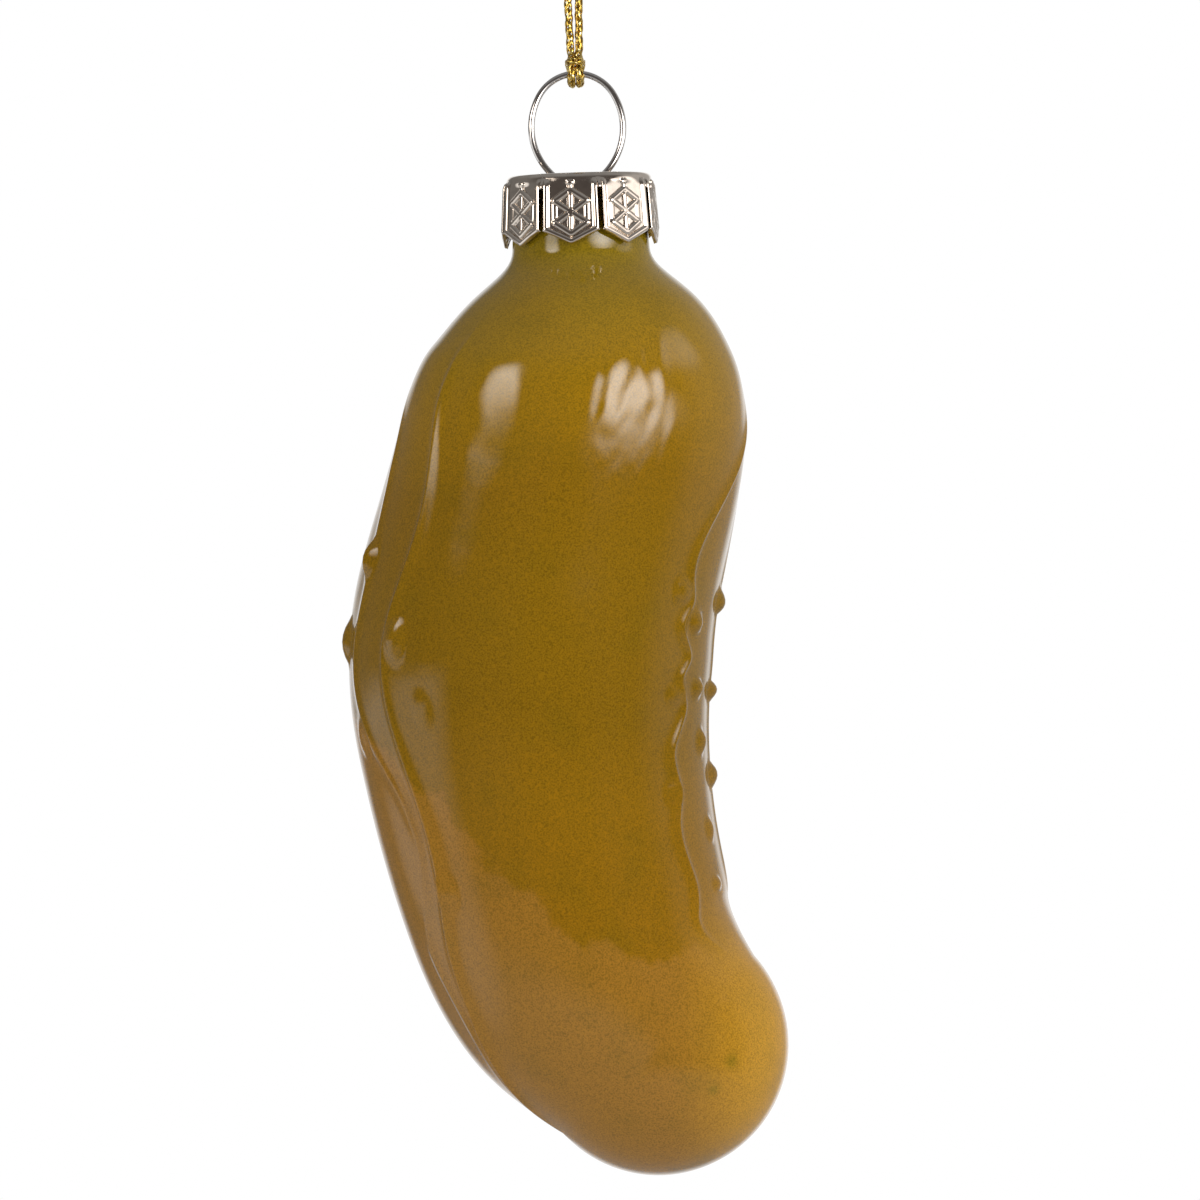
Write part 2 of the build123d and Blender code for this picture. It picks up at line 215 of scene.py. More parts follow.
def lacquer_material():
    material = bpy.data.materials.new("lacquered_glass")
    nodes = Nodes(material)
    place = nodes.add("ShaderNodeTexCoord").outputs["Object"]
    split = nodes.add("ShaderNodeSeparateXYZ", {"Vector": place})
    low, high = LACQUER_STOPS[0][0], LACQUER_STOPS[-1][0]
    drift = nodes.add("ShaderNodeTexNoise", {"Vector": place, "Scale": 45, "Detail": 2.0})
    middle = nodes.math("SUBTRACT", split.outputs["Z"], COLOUR_DRIFT / 2)
    height = nodes.math("MULTIPLY_ADD", drift.outputs["Fac"], COLOUR_DRIFT, middle)
    share = nodes.add("ShaderNodeMapRange", {"Value": height, "From Min": low, "From Max": high})
    colour = nodes.ramp(share.outputs["Result"], [((z - low) / (high - low), c) for z, c in LACQUER_STOPS])

    # The lower end turns paler and bluer behind a ragged border.
    rag = nodes.add("ShaderNodeTexNoise", {"Vector": place, "Scale": 160, "Detail": 4.0, "Roughness": 0.55})
    left = nodes.math("MULTIPLY", nodes.math("MINIMUM", split.outputs["X"], TIP_LEFT_X), TIP_SLOPE)
    border = nodes.math("SUBTRACT", TIP_BORDER + TIP_LEFT_X * TIP_SLOPE - TIP_RAGGED, left)
    ragged = nodes.math("MULTIPLY_ADD", rag.outputs["Fac"], 2 * TIP_RAGGED, border)
    tip = nodes.span(nodes.math("SUBTRACT", ragged, split.outputs["Z"]), -0.0008, 0.0012)
    colour = nodes.mix(tip, colour, PALE_END_COLOUR)
    # Painted light: a brighter, yellower patch on the right of the lower end stands in for light glowing in the
    # lacquer there.
    glow_across = nodes.span(split.outputs["X"], 0.006, 0.021)
    glow_height = nodes.span(split.outputs["Z"], -0.118, -0.132)
    colour = nodes.mix(nodes.math("MULTIPLY", glow_across, glow_height), colour, PAINTED_GLOW)

    for spot, size in GREEN_SPOTS:
        away = nodes.add("ShaderNodeVectorMath", {0: place, 1: spot}, operation="DISTANCE").outputs["Value"]
        torn = nodes.math("ADD", away, nodes.math("MULTIPLY", rag.outputs["Fac"], size))
        share = nodes.math("MULTIPLY", nodes.span(torn, 1.7 * size, 0.5 * size), 0.5)
        colour = nodes.mix(share, colour, GREEN_PAINT)

    cloud = nodes.add("ShaderNodeTexNoise", {"Vector": place, "Scale": 150, "Detail": 3.0})
    dark = nodes.mix(0.25, colour, CLOUD_PAINT)
    colour = nodes.mix(nodes.span(cloud.outputs["Fac"], 0.5, 0.78), colour, dark)

    grain = nodes.add("ShaderNodeTexNoise", {"Vector": place, "Scale": 5500, "Detail": 1.0, "Roughness": 0.4})
    specks = nodes.ramp(grain.outputs["Fac"], [
        (0.3, (0.68, 0.71, 0.62)), (0.5, (1, 1, 1)), (0.68, (1.22, 1.18, 1.08)),
    ])
    colour = nodes.mix(1.0, colour, specks, "MULTIPLY")

    ripple = nodes.add("ShaderNodeTexNoise", {"Vector": place, "Scale": 420, "Detail": 1.0})
    bump = nodes.add("ShaderNodeBump", {"Height": ripple.outputs["Fac"], "Strength": 0.05, "Distance": 0.0004})
    glass = nodes.add("ShaderNodeBsdfPrincipled", {
        "Base Color": colour, "Roughness": 0.5, "Specular IOR Level": 0.0, "Coat Weight": 1.0,
        "Coat Roughness": 0.06, "Coat IOR": 1.5, "Coat Normal": bump.outputs["Normal"],
    })
    nodes.add("ShaderNodeOutputMaterial", {"Surface": glass.outputs["BSDF"]})
    return material


lacquer = lacquer_material()
print("lacquer from", LACQUER_STOPS[0][1], "to", LACQUER_STOPS[-1][1])

# %% [markdown]
# ## The shape of the gherkin
# The body is a tube of changing width along a bent centre line, which ends in a round tip. Nearly the same places
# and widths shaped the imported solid. A smooth curve through them gives a centre, a direction and a width at every
# distance from the rim.

# %% Centre line and width
RIM_Z = -40.42
NECK_RIM_RADIUS, NECK_BASE_RADIUS, NECK_LENGTH = 7.45, 7.95, 8.0
GLASS_WALL = 0.9
TIP_RADIUS = 15.1
TIP_LEAN = radians(41)
OVAL_SHARE = 39.3 / 41.8
SPINE = [
    (0.0, 0.0), (0.0, 9.6), (-0.15, 19.6), (-2.0, 31.6), (-5.3, 43.6),
    (-7.4, 54.6), (-7.1, 66.6), (-4.7, 80.6), (-0.6, 91.6), (6.0, 99.9),
]
GIRTH = [
    (0.0, NECK_BASE_RADIUS), (1.7, 8.7), (3.4, 10.5), (5.2, 12.6), (6.9, 14.2), (8.6, 15.5), (10.3, 16.6),
    (12.0, 17.6), (15.5, 18.9), (19.0, 19.6), (26.0, 20.0), (36.0, 20.3), (47.0, 20.9), (60.0, 19.8),
    (74.0, 18.7), (86.0, 17.4),
]

chords = np.concatenate([[0], np.cumsum(np.hypot(*np.diff(np.array(SPINE), axis=0).T))])
spine_right = smooth_curve(chords, [p[0] for p in SPINE], 0, sin(TIP_LEAN))
spine_down = smooth_curve(chords, [p[1] for p in SPINE], 1, cos(TIP_LEAN))
fine = np.linspace(0, chords[-1], 2001)
fine_right, fine_down = spine_right(fine), spine_down(fine)
fine_along = np.concatenate([[0], np.cumsum(np.hypot(np.diff(fine_right), np.diff(fine_down)))])
SPINE_LENGTH = fine_along[-1]
girth = smooth_curve([NECK_LENGTH + a for a, _ in GIRTH] + [SPINE_LENGTH],
                     [w for _, w in GIRTH] + [TIP_RADIUS], 0.1, -0.2)


def centre_at(along):
    """Centre line's place (right, up) and its direction, at a distance from the rim."""
    right, low = np.interp(along, fine_along, fine_right), np.interp(along, fine_along, fine_down)
    turn = np.interp(along, fine_along, np.arctan2(np.gradient(fine_right), np.gradient(fine_down)))
    return right, RIM_Z - low, sin(turn), -cos(turn)


print("centre line", round(SPINE_LENGTH, 2), "mm")

# %% [markdown]
# ## Ridges, warts and dents
# The mould pressed sharp seams into the glass, which wander down the sides, and small round warts that sit on
# and beside them. The glass also has shallow dents, which the wavy highlights show. Each is a lift of the skin
# along its normal, so they are added as one height over the distance and the angle from the front.

# %% Relief of the skin
# Places are (distance along the centre line from the rim, angle from the front, positive to the right).
SIDE_RIDGE = [(18, 0), (40, 0.36), (86, 0.36), (104, 0)]
RIDGES = [
    {"path": [(18, -150), (60, -153), (104, -151)], "height": SIDE_RIDGE, "left": 0.8, "right": 0.8, "columns": 28},
    {"path": [(18, -110), (60, -113), (104, -111)], "height": SIDE_RIDGE, "left": 0.8, "right": 0.8, "columns": 28},
    {"path": [(26, -86), (34, -79), (42, -72), (52, -69), (57, -72), (64.5, -62), (69, -53.5), (76, -51),
              (84, -61), (91.5, -61), (96, -70), (104, -88)],
     "height": [(26, 0), (38, 0.38), (72, 0.4), (77, 0.05), (81, 0.05), (85, 0.42), (91, 0.42), (99, 0)],
     "left": 0.9, "right": 0.7, "columns": 28},
    {"path": [(16, -50), (29, -52), (42, -46), (50, -48), (55, -51.5), (64, -48), (79, -44), (86, -50),
              (92, -56), (104, -80)],
     "height": [(15, 0), (22, 0.34), (36, 0.54), (60, 0.66), (92, 0.76), (99, 0.42), (106, 0)],
     "left": 0.45, "right": 0.85, "columns": 104},
    {"path": [(22, 92), (29, 76), (35, 61), (42.5, 56.5), (45, 58.5), (48.5, 55), (54, 60), (57.5, 56.5),
              (63, 59), (69, 52), (74, 54), (78, 51), (88, 52.5), (100, 53.5), (104, 62)],
     "height": [(22, 0), (30, 0.48), (60, 0.6), (92, 0.56), (102, 0)],
     "left": 0.6, "right": 0.45, "columns": 32},
    {"path": [(22, 102), (40, 93), (70, 91), (104, 92)], "height": SIDE_RIDGE,
     "left": 0.8, "right": 0.8, "columns": 28},
    {"path": [(18, 126), (60, 131), (104, 128)], "height": SIDE_RIDGE, "left": 0.8, "right": 0.8, "columns": 28},
    {"path": [(18, 166), (60, 169), (104, 167)], "height": SIDE_RIDGE, "left": 0.8, "right": 0.8, "columns": 28},
]
CREST_OFFSETS = (-0.6, -0.34, -0.15, 0.0, 0.15, 0.34, 0.6)
CREST_ROUND = 0.25
WARTS = [
    (47.8, -69, 0.95), (55.0, -85, 0.9), (54.5, -46.7, 0.95), (60.9, -36.6, 0.2), (63.1, -71, 0.45),
    (79.5, -42, 0.45), (44.1, 53, 0.55), (47.9, 64, 0.7), (59.8, 69, 0.7), (60.8, 54, 0.4),
    (68.0, 74, 0.7), (74.2, 51, 0.4), (44.3, 89, 0.9), (60.4, 88.5, 0.85), (72.9, 89.5, 0.85),
    (80.2, 75, 0.5), (89.4, 71, 0.4), (52, 130, 0.75), (66, 168, 0.75), (58, -150, 0.75),
]
WART_RADIUS, WART_STRETCH, WART_ROUND = 1.65, 1.2, 1.15


def angle_gap(angle, other):
    """Signed angle from other to angle, in degrees, within half a turn."""
    return (angle - other + 180) % 360 - 180


def column_angles(along, width):
    """Angle of every column of the skin: close together at each crest, and even in between."""
    per_degree = width * pi / 180
    crests = [float(ridge["curve"](along)) for ridge in RIDGES]
    reach = CREST_OFFSETS[-1] / per_degree
    angles = []
    for ridge, crest, after in zip(RIDGES, crests, crests[1:] + [crests[0] + 360]):
        angles += [crest + offset / per_degree for offset in CREST_OFFSETS]
        angles += list(np.linspace(crest + reach, after - reach, ridge["columns"] + 2)[1:-1])
    return np.array(angles)


def relief(along, angles, width):
    """Lift of the skin at one distance along the body, for all the angles round it."""
    lift = np.zeros(angles.shape)
    per_degree = width * pi / 180
    for ridge in RIDGES:
        side = angle_gap(angles, ridge["curve"](along)) * per_degree
        reach = np.where(side < 0, ridge["left"], ridge["right"])
        fall = (np.hypot(side, CREST_ROUND) - CREST_ROUND) / reach
        lift = np.maximum(lift, np.interp(along, *zip(*ridge["height"])) * np.exp(-fall))
    for wart_along, wart_angle, height in WARTS:
        if abs(along - wart_along) < WART_STRETCH * WART_RADIUS:
            side = angle_gap(angles, wart_angle) * per_degree
            near = (side / WART_RADIUS) ** 2 + ((along - wart_along) / (WART_STRETCH * WART_RADIUS)) ** 2
            lift = lift + height * np.clip(1 - near, 0, 1) ** WART_ROUND
    return lift


for ridge in RIDGES:
    ridge["curve"] = smooth_curve(*zip(*ridge["path"]), 0, 0)
print("ridges", len(RIDGES), "warts", len(WARTS))

# %% [markdown]
# ## The glass shell
# A ring of points is extruded row by row: from the closed end of the inner wall up to the mouth, over the
# rounded rim, and down the outside to the tip. Each new row is put in its place by the curves above. This makes
# one closed shell with the wall's real thickness, so that the open neck looks right when the cap is pulled off.

# %% Dents
WAVE_SIZE, WAVE_LIFT = 15.0, 0.14
DENTS = [
    {"along": (17, 19, 24, 33), "angles": (2, 8, 30, 40), "across": 1.7, "length": 5.0, "lift": 0.2},
    {"along": (19, 22, 27, 38), "angles": (2, 8, 30, 40), "across": 0.9, "length": 1.9, "lift": 0.05},
    {"along": (18, 22, 33, 40), "angles": (-44, -36, -18, -10), "across": 3.6, "length": 6.0, "lift": 0.09},
]


def dents(points, along, angles, width):
    """Slow waves of the blown skin, and the small dents on its shoulders."""
    body = float(smooth_step(along, 14, 30))
    lift = np.array([WAVE_LIFT * body * noise.noise(point / WAVE_SIZE) for point in points])
    for dent in DENTS:
        start, full, fade, end = dent["along"]
        left, left_full, right_full, right = dent["angles"]
        share = (smooth_step(along, start, full) * (1 - smooth_step(along, fade, end))
                 * smooth_step(angles, left, left_full) * (1 - smooth_step(angles, right_full, right)))
        for k in np.flatnonzero(share > 0):
            side = radians(angles[k]) * width
            lift[k] += dent["lift"] * share[k] * noise.noise((side / dent["across"], along / dent["length"], 0))
    return lift


print("dents", len(DENTS))


# %% Rows of the skin
def ring_places(along, inset):
    """All points of one row of the skin, the wall's thickness inside it where inset is 1."""
    centre_x, centre_z, lean_x, lean_z = centre_at(min(along, SPINE_LENGTH))
    if along < NECK_LENGTH:
        width = NECK_RIM_RADIUS + (NECK_BASE_RADIUS - NECK_RIM_RADIUS) * along / NECK_LENGTH
    else:
        width = float(girth(along))
    oval = float(smooth_step(along, NECK_LENGTH, 30) * (1 - smooth_step(along, 80, SPINE_LENGTH)))
    depth = width * (1 - (1 - OVAL_SHARE) * oval)
    latitude = max(along - SPINE_LENGTH, 0) / TIP_RADIUS
    shrink, reach = cos(latitude), sin(latitude)
    angles = column_angles(along, width)
    turn = np.radians(angles)

    def places(lift):
        side = (width - inset * GLASS_WALL + lift) * np.sin(turn) * shrink
        front = -(depth - inset * GLASS_WALL + lift) * np.cos(turn) * shrink
        out = (TIP_RADIUS - inset * GLASS_WALL) * reach
        return [Vector((centre_x - lean_z * s + lean_x * out, f, centre_z + lean_x * s + lean_z * out))
                for s, f in zip(side, front)]

    plain = places(0.0)
    if inset > 0:
        return plain
    return places(relief(along, angles, width) + dents(plain, along, angles, width))


def shell_rows():
    """Distance along the body and inset of each row, from the inner wall's end to the outer tip."""
    tip_length = TIP_RADIUS * pi / 2
    inner = [SPINE_LENGTH + tip_length * share for share in (0.97, 0.75, 0.5, 0.25)]
    inner += list(np.linspace(SPINE_LENGTH, 12, 16)) + list(np.linspace(10, 0.45, 6))
    rows = [(along, 1.0) for along in inner]
    rows += [(0.12, 0.86), (0.0, 0.62), (0.0, 0.38), (0.12, 0.14), (0.45, 0.0)]
    outer = list(np.linspace(1.2, NECK_LENGTH, 9)) + list(np.linspace(NECK_LENGTH, 27, 40)[1:])
    outer += list(np.linspace(27, SPINE_LENGTH, 138)[1:])
    outer += [SPINE_LENGTH + tip_length * share for share in np.linspace(0, 0.985, 28)[1:]]
    return rows + [(along, 0.0) for along in outer]


print("rows", len(shell_rows()))

# %% Glass shell
RING_POINTS = sum(len(CREST_OFFSETS) + ridge["columns"] for ridge in RIDGES)


def extrude_row(bm, ring, places):
    """Extrude an open ring of vertices to a new ring at the given places."""
    edges = [bm.edges.get((ring[k], ring[(k + 1) % len(ring)])) for k in range(len(ring))]
    made = bmesh.ops.extrude_edge_only(bm, edges=edges)["geom"]
    partner = {}
    new = {item for item in made if isinstance(item, bmesh.types.BMVert)}
    for vert in ring:
        for edge in vert.link_edges:
            other = edge.other_vert(vert)
            if other in new:
                partner[vert] = other
    row = [partner[vert] for vert in ring]
    for vert, place in zip(row, places):
        vert.co = place
    return row


def glass_shell():
    bm = bmesh.new()
    rows = shell_rows()
    ring = bmesh.ops.create_circle(bm, cap_ends=False, radius=1, segments=RING_POINTS)["verts"]
    for vert, place in zip(ring, ring_places(*rows[0])):
        vert.co = place
    first = ring
    for along, inset in rows[1:]:
        ring = extrude_row(bm, ring, ring_places(along, inset))
    for end in (first, ring):
        middle = sum((vert.co for vert in end), Vector()) / len(end)
        bmesh.ops.pointmerge(bm, verts=end, merge_co=middle)
    bmesh.ops.recalc_face_normals(bm, faces=bm.faces)
    return bm


make_piece(glass_shell(), "glass_gherkin", "body", lacquer, ["glass_body"])

# %% [markdown]
# ## Bright metals
# The cap is plated tin with a warm silver tone, and the wire is drawn steel. Both mirror the room, so their look
# comes mostly from what stands round them. Fine noise in the roughness keeps them from looking like pure mirrors.

# %% Metals
def metal_material(name, colour, roughness, spread, scratch_scale):
    material = bpy.data.materials.new(name)
    nodes = Nodes(material)
    place = nodes.add("ShaderNodeTexCoord").outputs["Object"]
    wear = nodes.add("ShaderNodeTexNoise", {"Vector": place, "Scale": scratch_scale, "Detail": 4.0})
    rough = nodes.span(wear.outputs["Fac"], 0.3, 0.75, roughness, roughness + spread)
    tone = nodes.mix(nodes.span(wear.outputs["Fac"], 0.35, 0.8), colour, tuple(0.8 * c for c in colour))
    metal = nodes.add("ShaderNodeBsdfPrincipled", {"Base Color": tone, "Roughness": rough, "Metallic": 1.0})
    nodes.add("ShaderNodeOutputMaterial", {"Surface": metal.outputs["BSDF"]})
    return material


cap_metal = metal_material("plated_tin", (0.86, 0.77, 0.68), 0.06, 0.07, 900)
wire_metal = metal_material("drawn_wire", (0.82, 0.79, 0.76), 0.05, 0.06, 2500)
print("metals", cap_metal.name, wire_metal.name)

# %% [markdown]
# ## The wire ring
# One wire makes the ring and both legs. The right half starts as a circle at the top of the ring, is spun round
# the centre of each bend in turn, and is extruded for the straight leg. A mirror makes the other half.

# %% Wire ring
WIRE_RADIUS = 0.375
RING_BENDS = [(4.95, 60.0, 1), (7.5, 80.0, 1), (1.1, 62.5, -1)]
LEG_LENGTH, LEG_STEPS = 14.5, 4


def wire_ring():
    bm = bmesh.new()
    turned = Matrix.Translation((0, 0, RING_TOP_Z)) @ Matrix.Rotation(pi / 2, 4, "Y")
    ring = bmesh.ops.create_circle(bm, cap_ends=False, radius=WIRE_RADIUS, segments=24, matrix=turned)["verts"]
    geometry = ring + list({edge for vert in ring for edge in vert.link_edges})
    place, heading = Vector((0, 0, RING_TOP_Z)), 0.0
    for radius, turn, way in RING_BENDS:
        outward = Vector((sin(radians(heading)), 0, cos(radians(heading))))
        centre = place - way * radius * outward
        spun = bmesh.ops.spin(bm, geom=geometry, cent=centre, axis=(0, 1, 0), angle=way * radians(turn),
                              steps=max(16, int(turn * 0.6)), use_duplicate=False)
        geometry = spun["geom_last"]
        place = centre + Matrix.Rotation(way * radians(turn), 3, "Y") @ (place - centre)
        heading += way * turn
    leg = Vector((cos(radians(heading)), 0, -sin(radians(heading)))) * LEG_LENGTH
    edges = [item for item in geometry if isinstance(item, bmesh.types.BMEdge)]
    for _ in range(LEG_STEPS):
        made = bmesh.ops.extrude_edge_only(bm, edges=edges)["geom"]
        verts = [item for item in made if isinstance(item, bmesh.types.BMVert)]
        edges = [item for item in made if isinstance(item, bmesh.types.BMEdge)]
        bmesh.ops.translate(bm, verts=verts, vec=leg / LEG_STEPS)
    end = bmesh.ops.contextual_create(bm, geom=edges)["faces"]
    bmesh.ops.bevel(bm, geom=list(end[0].edges), offset=0.08, offset_type="OFFSET", segments=2, profile=0.5,
                    affect="EDGES", material=-1)
    bmesh.ops.mirror(bm, geom=bm.verts[:] + bm.edges[:] + bm.faces[:], matrix=Matrix.Identity(4),
                     merge_dist=0.01, axis="X")
    bmesh.ops.remove_doubles(bm, verts=bm.verts, dist=0.005)
    bmesh.ops.recalc_face_normals(bm, faces=bm.faces)
    return bm


make_piece(wire_ring(), "wire_ring", "hanger", wire_metal, ["wire_hanger"])

# %% [markdown]
# ## The crown cap
# The cap is stamped from one thin sheet: a flat top with two slots, a rolled edge and a skirt of pointed petals.
# Each petal has a raised frame and a six-spoked snowflake, an old pattern on such caps. The skirt is extruded row
# by row, like the glass, and the stamping is a lift of its points outwards. The slits between the petals are
# faces taken away, and a Solidify modifier gives the sheet its thickness.

# %% Sizes of the cap
CAP_TOP_Z = -39.97
CAP_TOP_RADIUS = 8.1
CAP_FLARE, CAP_HEIGHT, CAP_SHEET = 0.5, 8.0, 0.28
CAP_CORNER = 0.4
PETALS, PETAL_TURN, PETAL_POINT = 8, -7.0, 1.6
SLIT_WIDTH, SLIT_TOP = 0.2, 1.5
print("cap", round(2 * (CAP_TOP_RADIUS + CAP_FLARE), 1), "mm across and", CAP_HEIGHT, "mm high")

# %% Stamping of a petal
STAMP_LIFT = 0.3
FLAKE_DROP, FLAKE_HALF_WIDTH, FLAKE_STRETCH = 4.25, 1.85, 1.18
FLAKE_SIDE, FLAKE_SPOKE, FLAKE_STEM = 0.27, 0.24, 0.2
STEM_TOP = 0.95
FRAME_INSET, FRAME_HALF_WIDTH, EDGE_HALF_WIDTH = 0.36, 0.22, 0.16
POINT_SLANT = 0.93
DOT_DROP, DOT_OFFSET, DOT_RADIUS, CORNER_DOT_RADIUS = 0.85, 0.16, 0.24, 0.26
UPRIGHT_SHARE, SPOKE_SHARE, EDGE_SHARE, DOT_SHARE = 0.4, 0.9, 0.3, 1.1


def rib(distance, half_width):
    """A rounded rib: 1 on its middle line and 0 from half its width outwards."""
    return max(0.0, 1 - (distance / half_width) ** 2) ** 1.5


def to_segment(x, y, start, end):
    """Distance from a point to a straight stretch."""
    (ax, ay), (bx, by) = start, end
    length = (bx - ax) ** 2 + (by - ay) ** 2
    share = min(1, max(0, ((x - ax) * (bx - ax) + (y - ay) * (by - ay)) / length))
    return sqrt((x - ax - share * (bx - ax)) ** 2 + (y - ay - share * (by - ay)) ** 2)


def snowflake(x, y):
    """Height of the six-spoked flake, whose upright sides are lower than the slanted ones."""
    size = FLAKE_HALF_WIDTH / cos(radians(30))
    corners = [(size * sin(radians(60 * k)), size * cos(radians(60 * k))) for k in range(6)]
    height = 0.0
    for k, corner in enumerate(corners):
        side_share = UPRIGHT_SHARE if k in (2, 5) else 1.0
        height = max(height, side_share * rib(to_segment(x, y, corner, corners[k - 1]), FLAKE_SIDE))
        height = max(height, SPOKE_SHARE * rib(to_segment(x, y, (0, 0), corner), FLAKE_SPOKE))
    stem_top = (FLAKE_DROP - STEM_TOP) / FLAKE_STRETCH
    return max(height, rib(to_segment(x, y, (0, size), (0, stem_top)), FLAKE_STEM))


def stamp(across, drop, half_width):
    """Height of the stamping at a place on a petal: across from its middle, and down from the cap's top."""
    point_drop = CAP_HEIGHT - PETAL_POINT * abs(across) / half_width
    edge = min(half_width - abs(across), (point_drop - drop) * POINT_SLANT)
    height = rib(edge - FRAME_INSET, FRAME_HALF_WIDTH) if drop > DOT_DROP else 0.0
    height = max(height, EDGE_SHARE * rib(edge, EDGE_HALF_WIDTH))
    height = max(height, snowflake(across, (FLAKE_DROP - drop) / FLAKE_STRETCH))
    dots = [(side * DOT_OFFSET, DOT_RADIUS) for side in (-1, 1)]
    dots += [(side * (half_width - FRAME_INSET), CORNER_DOT_RADIUS) for side in (-1, 1)]
    for dot, radius in dots:
        height = max(height, DOT_SHARE * rib(sqrt((across - dot) ** 2 + (drop - DOT_DROP) ** 2), radius))
    return STAMP_LIFT * height


print("stamping on the flake's middle", round(stamp(0, FLAKE_DROP, 3), 2), "mm")

# %% Skirt of the cap
PETAL_COLUMNS = 56
PETAL_FLATNESS, FLAT_MIDDLE = 0.85, 0.55
FLAT_FROM, STAMP_FROM, STAMP_FULL = 1.3, 0.42, 0.62


def cap_columns():
    """Angle of every column round the cap, with its place across its petal from -1 to 1."""
    pitch = 360 / PETALS
    slit = SLIT_WIDTH / CAP_TOP_RADIUS * 180 / pi
    columns = []
    for petal in range(PETALS):
        middle = PETAL_TURN + petal * pitch
        for step in range(PETAL_COLUMNS + 1):
            share = 2 * step / PETAL_COLUMNS - 1
            columns.append((middle + share * (pitch - slit) / 2, share))
    return columns


def cap_row(columns, drop_of, radius_of):
    """Places of one row round the cap."""
    places = []
    for angle, share in columns:
        drop = drop_of(share)
        radius = radius_of(share, drop)
        turn = radians(angle)
        places.append(Vector((radius * sin(turn), -radius * cos(turn), CAP_TOP_Z - drop)))
    return places


def skirt_radius(share, drop):
    """Radius of the skirt: a cone whose petals are pressed nearly flat, plus the stamping."""
    radius = CAP_TOP_RADIUS + CAP_FLARE * drop / CAP_HEIGHT
    half_pitch = pi / PETALS
    flat = radius * cos(FLAT_MIDDLE * half_pitch) / cos(share * half_pitch)
    settle = float(smooth_step(drop, CAP_CORNER, FLAT_FROM))
    half_width = radius * half_pitch - SLIT_WIDTH / 2
    lift = stamp(share * half_width, drop, half_width) * float(smooth_step(drop, STAMP_FROM, STAMP_FULL))
    return radius + PETAL_FLATNESS * settle * (flat - radius) + lift


print("columns round the cap", len(cap_columns()))

# %% Top of the cap
SLOT_X, SLOT_LENGTH, SLOT_WIDTH = 2.56, 2.0, 1.15


def cut_top(bm, outline):
    """Fill the flat top inside the outline, leaving the two slots for the wire open."""
    edges = [bm.edges.get((outline[k], outline[k - 1])) for k in range(len(outline))]
    for side in (-1, 1):
        place = Matrix.Translation((side * SLOT_X, 0, CAP_TOP_Z))
        slot = bmesh.ops.create_circle(bm, cap_ends=False, radius=SLOT_WIDTH / 2, segments=32, matrix=place)["verts"]
        for vert in slot:
            stretch = (SLOT_LENGTH - SLOT_WIDTH) / 2
            vert.co.x += stretch if vert.co.x > side * SLOT_X else -stretch
        edges += list({edge for vert in slot for edge in vert.link_edges})
    bmesh.ops.triangle_fill(bm, use_beauty=True, edges=edges, normal=(0, 0, 1))


print("slots", SLOT_LENGTH, "by", SLOT_WIDTH, "mm")

# %% Crown cap
PETAL_ROWS, CORNER_ROWS, BAND_ROWS = 62, 6, 8


def crown_cap():
    bm = bmesh.new()
    columns = cap_columns()
    ring = bmesh.ops.create_circle(bm, cap_ends=False, radius=1, segments=len(columns))["verts"]
    top_radius = CAP_TOP_RADIUS - CAP_CORNER
    for vert, place in zip(ring, cap_row(columns, lambda share: 0.0, lambda *_: top_radius)):
        vert.co = place
    top = ring
    for step in range(1, CORNER_ROWS + 1):
        bend = pi / 2 * step / CORNER_ROWS
        radius = top_radius + CAP_CORNER * sin(bend)
        drop = CAP_CORNER * (1 - cos(bend))
        ring = extrude_row(bm, ring, cap_row(columns, lambda share: drop, lambda *_: radius))
    for step in range(1, BAND_ROWS + 1):
        drop = CAP_CORNER + (SLIT_TOP - CAP_CORNER) * step / BAND_ROWS
        ring = extrude_row(bm, ring, cap_row(columns, lambda share: drop, skirt_radius))
    slits = []
    for step in range(1, PETAL_ROWS + 1):
        part = step / PETAL_ROWS

        def drop_of(share):
            return SLIT_TOP + part * (CAP_HEIGHT - PETAL_POINT * abs(share) - SLIT_TOP)
        ring = extrude_row(bm, ring, cap_row(columns, drop_of, skirt_radius))
        for petal in range(PETALS):
            last = (petal + 1) * (PETAL_COLUMNS + 1) - 1
            edge = bm.edges.get((ring[last], ring[(last + 1) % len(ring)]))
            slits += edge.link_faces
    bmesh.ops.delete(bm, geom=list(set(slits)), context="FACES")
    cut_top(bm, top)
    bmesh.ops.recalc_face_normals(bm, faces=bm.faces)
    return bm


cap = make_piece(crown_cap(), "petal_cap", "cap", cap_metal, ["crown_cap"])
sheet = cap.modifiers.new("sheet", "SOLIDIFY")
sheet.thickness = CAP_SHEET * MM
sheet.offset = -1

# %% [markdown]
# ## The gold cord
# The cord is a thin braid of gold lamé. It comes down in two strands, goes round the wire in a lark's head and
# ends in a knot. Its line is a NURBS spline with the route's points. The braid follows points read from that
# spline: flat ribbons that wind both ways and pass over and under each other.

# %% Cord route
STRAND_X, PARTING_X, SPREAD_X = 0.55, 0.63, 1.8
HITCH_TOP_Z, PARTING_Z, SPREAD_Z, KNOT_Z = -26.755, -17.755, -6.0, 1.5
HITCH_TURN = [
    (0.52, 0.10, -24.4), (0.44, 0.15, -25.9), (0.42, -1.05, -27.0), (0.45, -1.15, -28.5), (0.48, 0.30, -29.5),
    (0.54, 1.35, -28.2), (0.72, 0.95, -26.7), (0.66, -0.95, -26.5),
]


def cord_route():
    """The route's points: down the left strand, round the wire and up the right strand."""
    strand = [(STRAND_X, 0, KNOT_Z), (SPREAD_X, 0, SPREAD_Z), (PARTING_X, 0, PARTING_Z)]
    half = strand + HITCH_TURN
    left = [(-x, y, z) for x, y, z in half]
    right = [(x, y, z) for x, y, z in reversed(half)]
    return left + [(0, -1.45, -26.7)] + right


